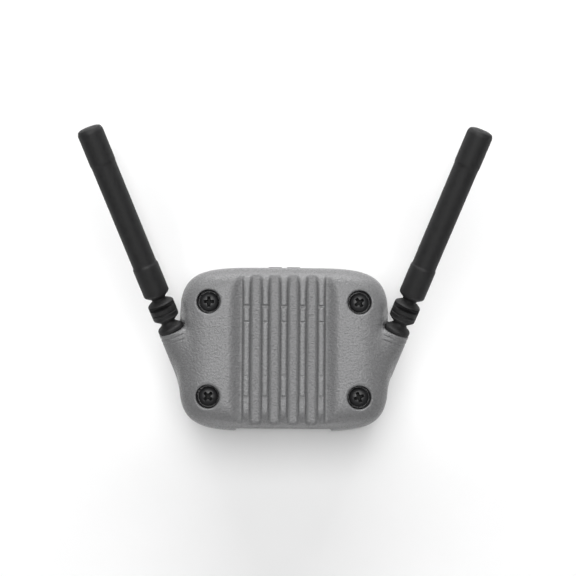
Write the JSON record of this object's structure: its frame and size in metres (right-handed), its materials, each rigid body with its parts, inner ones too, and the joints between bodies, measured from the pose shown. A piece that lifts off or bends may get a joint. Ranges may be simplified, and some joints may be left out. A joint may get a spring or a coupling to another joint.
{
  "type": "wireless audio receiver",
  "caption": "Rugged diversity wireless audio receiver: ribbed grey casing, two flexible rubber antennas, recessed screws, keys, status window and a socket bay.",
  "frame": {"origin": "middle of the flat front face, on which the unit lies", "axes": "+X to the unit's right, +Y towards the antenna tips, +Z out of the ribbed back"},
  "size_m": [0.1936, 0.146, 0.0735],
  "materials": {
    "casing_paint": "fine orange-peel textured grey paint, satin",
    "antenna_rubber": "matt moulded rubber",
    "seal_rubber": "matt silicone",
    "key_rubber": "satin silicone",
    "black_steel": "black oxide, semi-gloss",
    "steel": "zinc plated",
    "nickel": "nickel plated",
    "brass": "machined",
    "tin": "tin plated sheet",
    "gold_contact": "gold plated",
    "board_green": "solder mask over glass fibre",
    "board_blue": "solder mask over glass fibre",
    "chip_black": "moulded epoxy",
    "capacitor_sleeve": "heat-shrink sleeve",
    "transformer_core": "varnished laminations and bobbin",
    "ribbon": "flat flexible cable and headers",
    "pad": "thermal silicone",
    "aluminium": "milled",
    "black_plastic": "moulded, fine texture",
    "smoked_window": "smoked polycarbonate, polished",
    "light_pipe": "clear acrylic",
    "led": "clear encapsulated diode",
    "coax": "jacketed coaxial lead"
  },
  "bodies": {
    "casing": {"rear_casing": "casing_paint", "front_casing": "casing_paint", "casing_gasket": "seal_rubber", "casing_screws": "black_steel", "screw_seals": "seal_rubber", "threaded_inserts": "brass", "main_board": "board_green", "main_board_screws": "steel", "radio_module": "board_blue", "radio_shield": "tin", "processor_chips": "chip_black", "capacitors": "capacitor_sleeve", "audio_transformer": "transformer_core", "board_link": "ribbon", "audio_board": "board_green", "audio_board_screws": "steel", "amplifier_chips": "chip_black", "thermal_pad": "pad", "heat_spreader": "aluminium", "audio_jack": "black_plastic", "audio_jack_contacts": "gold_contact", "audio_jack_nut": "nickel", "power_inlet": "black_plastic", "power_inlet_pin": "gold_contact", "power_inlet_nut": "nickel", "socket_seals": "seal_rubber", "status_window": "smoked_window", "light_pipes": "light_pipe", "status_leds": "led", "volume_switches": "chip_black", "key_frame": "black_plastic", "key_switches": "chip_black", "key_board": "board_green", "key_board_screws": "steel", "service_port": "tin", "left_antenna_socket": "brass", "left_antenna_lead": "coax", "left_antenna_base": "antenna_rubber", "left_antenna_plug": "brass", "right_antenna_socket": "brass", "right_antenna_lead": "coax", "right_antenna_base": "antenna_rubber", "right_antenna_plug": "brass"},
    "left_knuckle": {"left_antenna_knuckle": "antenna_rubber"},
    "left_shaft": {"left_antenna_sleeve": "antenna_rubber", "left_antenna_core": "brass"},
    "right_knuckle": {"right_antenna_knuckle": "antenna_rubber"},
    "right_shaft": {"right_antenna_sleeve": "antenna_rubber", "right_antenna_core": "brass"},
    "power_key": {"power_key": "key_rubber"},
    "pair_key": {"pair_key": "key_rubber"},
    "volume_up_key": {"volume_up_key": "key_rubber"},
    "volume_down_key": {"volume_down_key": "key_rubber"},
    "port_cover": {"port_cover": "key_rubber"}
  },
  "joints": [
    {"name": "left_antenna_sway", "type": "hinge", "parent": "casing", "child": "left_knuckle", "pos_m": [-0.05692, 0.01343, 0.03705], "axis": [0.1118, -0.2881, 0.9511], "range_deg": [-12, 25], "stiffness_Nm_per_rad": 0.8},
    {"name": "left_antenna_nod", "type": "hinge", "parent": "left_knuckle", "child": "left_shaft", "pos_m": [-0.06139, 0.02496, 0.04106], "axis": [0.9323, 0.3616, 0], "range_deg": [-25, 25], "stiffness_Nm_per_rad": 0.8},
    {"name": "right_antenna_sway", "type": "hinge", "parent": "casing", "child": "right_knuckle", "pos_m": [0.05692, 0.01343, 0.03705], "axis": [0.1118, 0.2881, -0.9511], "range_deg": [-12, 25], "stiffness_Nm_per_rad": 0.8},
    {"name": "right_antenna_nod", "type": "hinge", "parent": "right_knuckle", "child": "right_shaft", "pos_m": [0.06139, 0.02496, 0.04106], "axis": [0.9323, -0.3616, 0], "range_deg": [-25, 25], "stiffness_Nm_per_rad": 0.8},
    {"name": "power_key_press", "type": "slide", "parent": "casing", "child": "power_key", "axis": [0, -1, 0], "range_m": [0, 0.0005], "stiffness_N_per_m": 1500, "springref_m": -0.0003},
    {"name": "pair_key_press", "type": "slide", "parent": "casing", "child": "pair_key", "axis": [0, -1, 0], "range_m": [0, 0.0005], "stiffness_N_per_m": 1500, "springref_m": -0.0003},
    {"name": "volume_up_key_press", "type": "slide", "parent": "casing", "child": "volume_up_key", "axis": [0, 0, 1], "range_m": [0, 0.0005], "stiffness_N_per_m": 1500, "springref_m": -0.0003},
    {"name": "volume_down_key_press", "type": "slide", "parent": "casing", "child": "volume_down_key", "axis": [0, 0, 1], "range_m": [0, 0.0005], "stiffness_N_per_m": 1500, "springref_m": -0.0003},
    {"name": "port_cover_hinge", "type": "hinge", "parent": "casing", "child": "port_cover", "pos_m": [0.051, -0.017, 0.0184], "axis": [0, 1, 0], "range_deg": [0, 95]}
  ]
}
